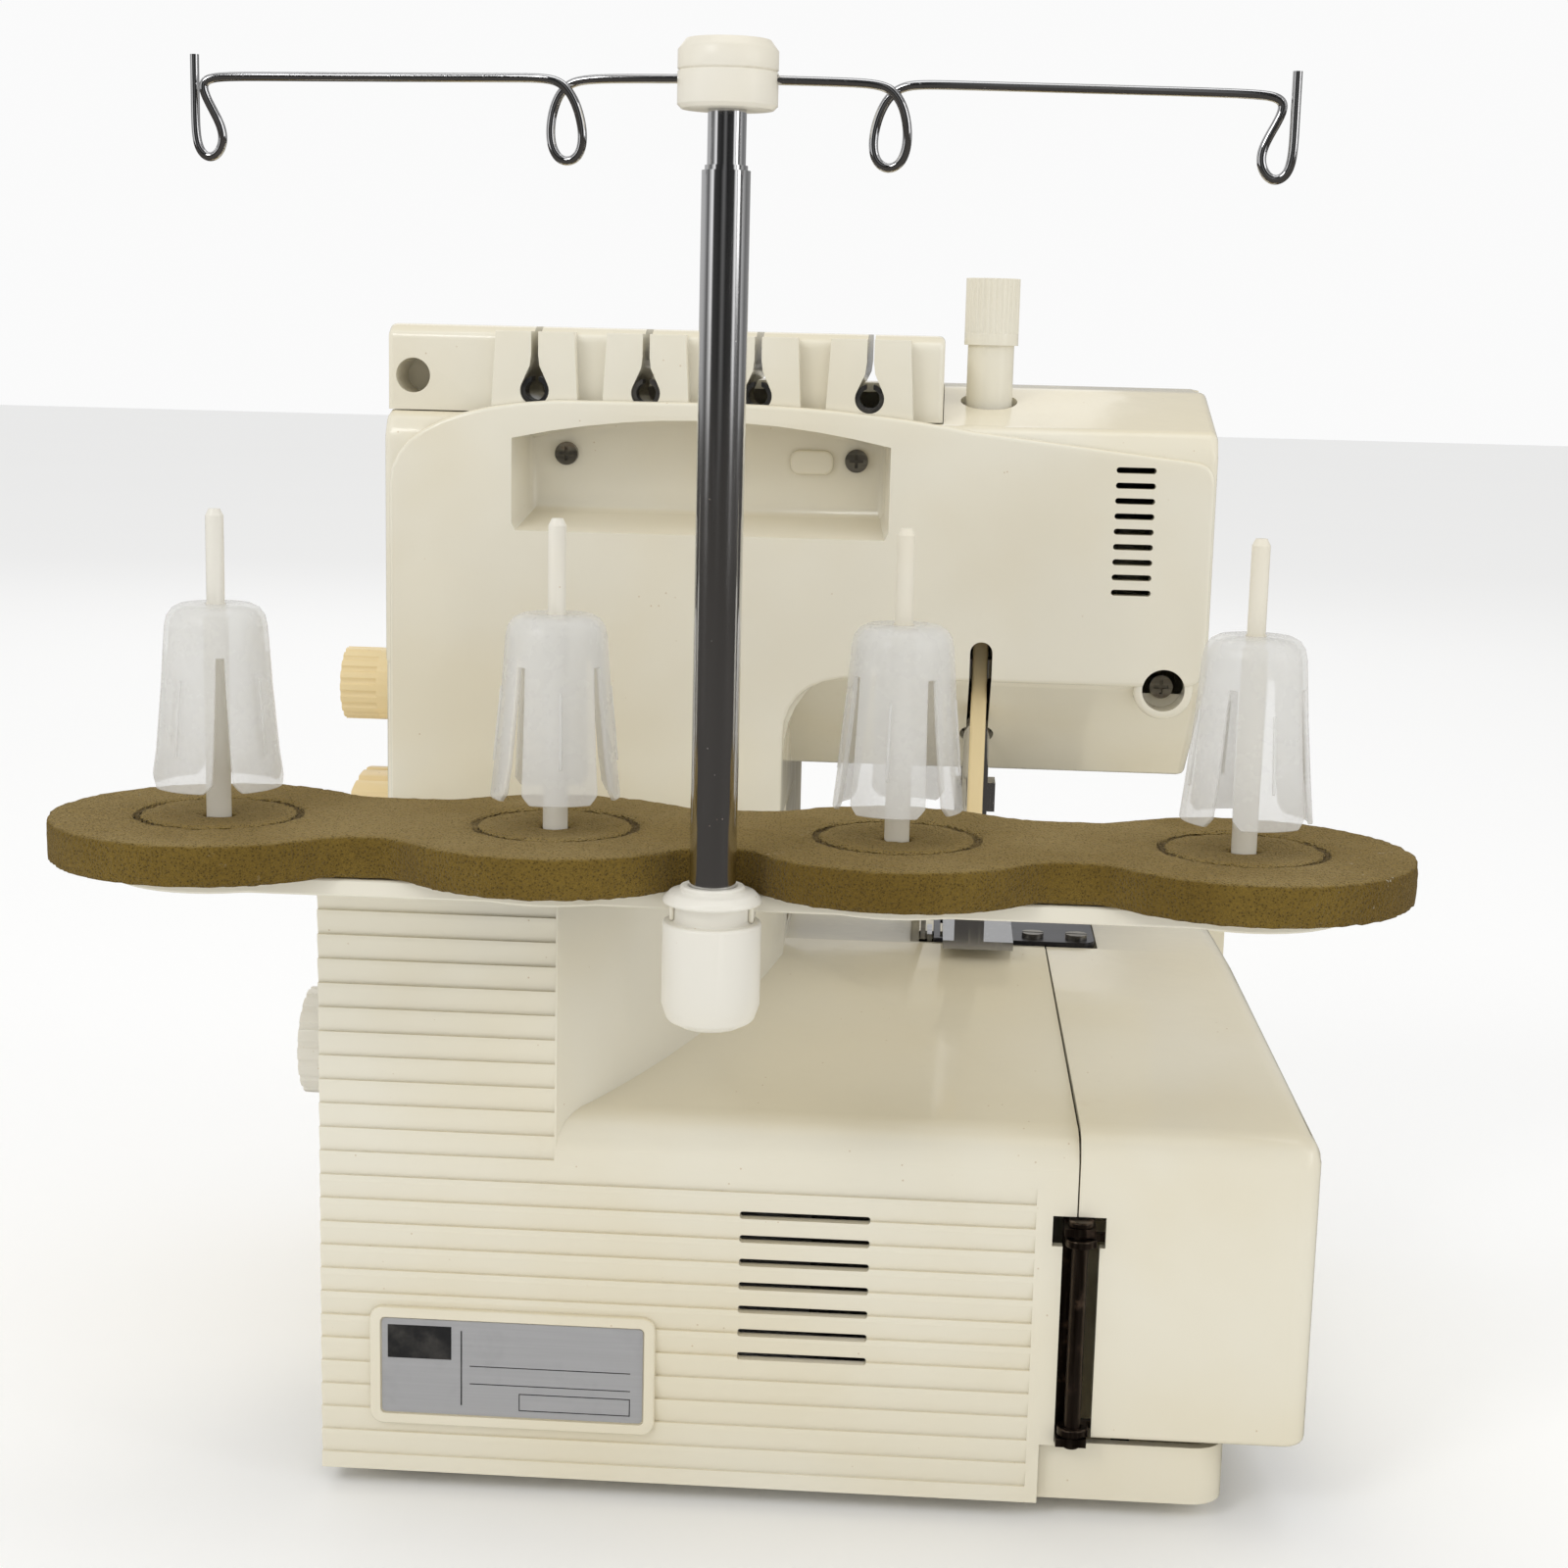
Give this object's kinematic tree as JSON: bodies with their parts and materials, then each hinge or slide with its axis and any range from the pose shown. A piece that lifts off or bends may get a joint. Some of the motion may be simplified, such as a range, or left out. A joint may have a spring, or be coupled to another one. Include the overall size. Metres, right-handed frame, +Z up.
{
  "type": "serger overlock machine",
  "caption": "Ivory four-thread overlock sewing machine with foam spool tray, cone holders, telescopic thread mast, side door and ribbed back.",
  "frame": {"origin": "on the table under the mast's plane, midway between the front cover and the back of the mast cup", "axes": "+X to the operator's right (handwheel side), +Y to the back (thread stand), +Z up"},
  "size_m": [0.307, 0.2549, 0.338],
  "materials": {
    "ivory_shell": "glossy, aged ivory",
    "rubber": "matte",
    "casting": "cast",
    "dark_plastic": "satin",
    "screw_steel": "satin",
    "plate_foil": "satin foil",
    "brown_steel": "browned",
    "bronze": "sintered",
    "steel": "satin",
    "yellowed_plastic": "satin, yellowed",
    "dark_steel": "blackened",
    "chrome": "polished",
    "white_plastic": "satin",
    "dial_violet": "satin",
    "dial_rose": "satin",
    "dial_blue": "satin",
    "dial_yellow": "satin",
    "lamp_glass": "clear",
    "foam": "open-cell foam",
    "milky_plastic": "translucent, milky"
  },
  "bodies": {
    "machine": {"base_pan": "ivory_shell", "rubber_feet": "rubber", "frame_casting": "casting", "rear_cover": "ivory_shell", "front_housing": "ivory_shell", "head_rear_cover": "ivory_shell", "head_front_cover": "ivory_shell", "thread_block": "ivory_shell", "thread_eyelets": "dark_plastic", "case_screws": "screw_steel", "rating_plate": "plate_foil", "hinge_bracket": "brown_steel", "hinge_rod": "brown_steel", "shaft_bushes": "bronze", "motor": "casting", "drive_belt": "rubber", "needle_plate": "dark_steel", "plate_screws": "screw_steel", "lower_knife": "steel", "lamp_socket": "dark_plastic", "lamp_bulb": "lamp_glass", "power_inlet": "dark_plastic", "stand_bracket": "steel", "spool_tray": "ivory_shell", "foam_pad": "foam", "spool_pins": "white_plastic", "mast_cup": "white_plastic", "mast_tube": "chrome"},
    "door": {"side_door": "ivory_shell", "door_knuckles": "brown_steel"},
    "looper_cover": {"front_cover": "ivory_shell"},
    "drive": {"handwheel": "yellowed_plastic", "main_shaft": "steel", "shaft_pulley": "dark_plastic"},
    "motor_drive": {"motor_pulley": "steel"},
    "needle_slide": {"needle_bar": "chrome", "needles": "steel"},
    "presser": {"presser_bar": "chrome", "presser_foot": "chrome"},
    "lifter": {"lifter_lever": "yellowed_plastic"},
    "pressure": {"pressure_knob": "ivory_shell"},
    "stitch_length": {"stitch_length_dial": "yellowed_plastic"},
    "differential": {"feed_dial": "white_plastic"},
    "tension_1": {"tension_dial_1": "dial_violet"},
    "tension_2": {"tension_dial_2": "dial_rose"},
    "tension_3": {"tension_dial_3": "dial_blue"},
    "tension_4": {"tension_dial_4": "dial_yellow"},
    "upper_loop": {"upper_looper": "chrome"},
    "lower_loop": {"lower_looper": "chrome"},
    "feed": {"feed_dog": "steel"},
    "cutter": {"upper_knife": "steel"},
    "switch": {"power_switch": "dark_plastic"},
    "cone_1": {"cone_holder_1": "milky_plastic"},
    "cone_2": {"cone_holder_2": "milky_plastic"},
    "cone_3": {"cone_holder_3": "milky_plastic"},
    "cone_4": {"cone_holder_4": "milky_plastic"},
    "mast": {"mast_inner": "chrome"},
    "guide": {"guide_cap": "white_plastic", "guide_wire": "chrome"}
  },
  "joints": [
    {"name": "handwheel_turn", "type": "hinge", "parent": "machine", "child": "drive", "pos_m": [0.088, -0.04733, 0.11079], "axis": [1, 0, 0], "continuous": true},
    {"name": "motor_turn", "type": "hinge", "parent": "machine", "child": "motor_drive", "pos_m": [0.088, 0.0357, 0.0705], "axis": [1, 0, 0], "continuous": true},
    {"name": "door_swing", "type": "hinge", "parent": "machine", "child": "door", "pos_m": [-0.0846, 0.072, 0.0475], "axis": [0, 0, 1], "range_deg": [-80, 0]},
    {"name": "looper_cover_tilt", "type": "hinge", "parent": "machine", "child": "looper_cover", "pos_m": [-0.074, -0.1261, 0.0105], "axis": [1, 0, 0], "range_deg": [0, 75]},
    {"name": "needle_bar_stroke", "type": "slide", "parent": "machine", "child": "needle_slide", "axis": [0, 0, 1], "range_m": [-0.026, 0]},
    {"name": "lifter_swing", "type": "hinge", "parent": "machine", "child": "lifter", "pos_m": [-0.0574, -0.01333, 0.209], "axis": [1, 0, 0], "range_deg": [0, 38]},
    {"name": "presser_lift", "type": "slide", "parent": "machine", "child": "presser", "axis": [0, 0, 1], "range_m": [0, 0.0055]},
    {"name": "pressure_turn", "type": "hinge", "parent": "machine", "child": "pressure", "pos_m": [-0.0574, -0.02683, 0.267], "axis": [0, 0, 1], "range_deg": [-720, 720]},
    {"name": "stitch_length_turn", "type": "hinge", "parent": "machine", "child": "stitch_length", "pos_m": [0.097, -0.04733, 0.181], "axis": [1, 0, 0], "range_deg": [-150, 150]},
    {"name": "differential_turn", "type": "hinge", "parent": "machine", "child": "differential", "pos_m": [0.097, 0.0257, 0.099], "axis": [1, 0, 0], "range_deg": [-90, 90]},
    {"name": "tension_turn_1", "type": "hinge", "parent": "machine", "child": "tension_1", "pos_m": [0.078, -0.09831, 0.221], "axis": [1, 0, 0], "range_deg": [0, 300]},
    {"name": "tension_turn_2", "type": "hinge", "parent": "machine", "child": "tension_2", "pos_m": [0.054, -0.09831, 0.221], "axis": [1, 0, 0], "range_deg": [0, 300]},
    {"name": "tension_turn_3", "type": "hinge", "parent": "machine", "child": "tension_3", "pos_m": [0.03, -0.09831, 0.221], "axis": [1, 0, 0], "range_deg": [0, 300]},
    {"name": "tension_turn_4", "type": "hinge", "parent": "machine", "child": "tension_4", "pos_m": [0.006, -0.09831, 0.221], "axis": [1, 0, 0], "range_deg": [0, 300]},
    {"name": "upper_looper_swing", "type": "hinge", "parent": "machine", "child": "upper_loop", "pos_m": [-0.0294, -0.08283, 0.0665], "axis": [0, 1, 0], "range_deg": [-12, 12]},
    {"name": "lower_looper_swing", "type": "hinge", "parent": "machine", "child": "lower_loop", "pos_m": [-0.0654, -0.07683, 0.0665], "axis": [0, 1, 0], "range_deg": [-12, 12]},
    {"name": "feed_stroke", "type": "slide", "parent": "machine", "child": "feed", "axis": [0, 1, 0], "range_m": [-0.002, 0.002]},
    {"name": "knife_stroke", "type": "slide", "parent": "machine", "child": "cutter", "axis": [0, 0, 1], "range_m": [-0.006, 0]},
    {"name": "switch_rock", "type": "hinge", "parent": "machine", "child": "switch", "pos_m": [0.091, 0.0167, 0.0315], "axis": [0, 1, 0], "range_deg": [-8, 8]},
    {"name": "cone_pull_1", "type": "slide", "parent": "machine", "child": "cone_1", "axis": [0, 0, 1], "range_m": [0, 0.03]},
    {"name": "cone_pull_2", "type": "slide", "parent": "machine", "child": "cone_2", "axis": [0, 0, 1], "range_m": [0, 0.03]},
    {"name": "cone_pull_3", "type": "slide", "parent": "machine", "child": "cone_3", "axis": [0, 0, 1], "range_m": [0, 0.03]},
    {"name": "cone_pull_4", "type": "slide", "parent": "machine", "child": "cone_4", "axis": [0, 0, 1], "range_m": [0, 0.03]},
    {"name": "mast_pull", "type": "slide", "parent": "machine", "child": "mast", "axis": [0, 0, 1], "range_m": [0, 0.12]},
    {"name": "guide_turn", "type": "hinge", "parent": "mast", "child": "guide", "pos_m": [0, 0.1167, 0.32], "axis": [0, 0, 1], "range_deg": [-180, 180]}
  ],
  "couplings": [
    {"joint": "motor_turn", "follows": "handwheel_turn", "ratio": 4},
    {"joint": "lifter_swing", "follows": "presser_lift", "rad_per_m": 120.47}
  ]
}
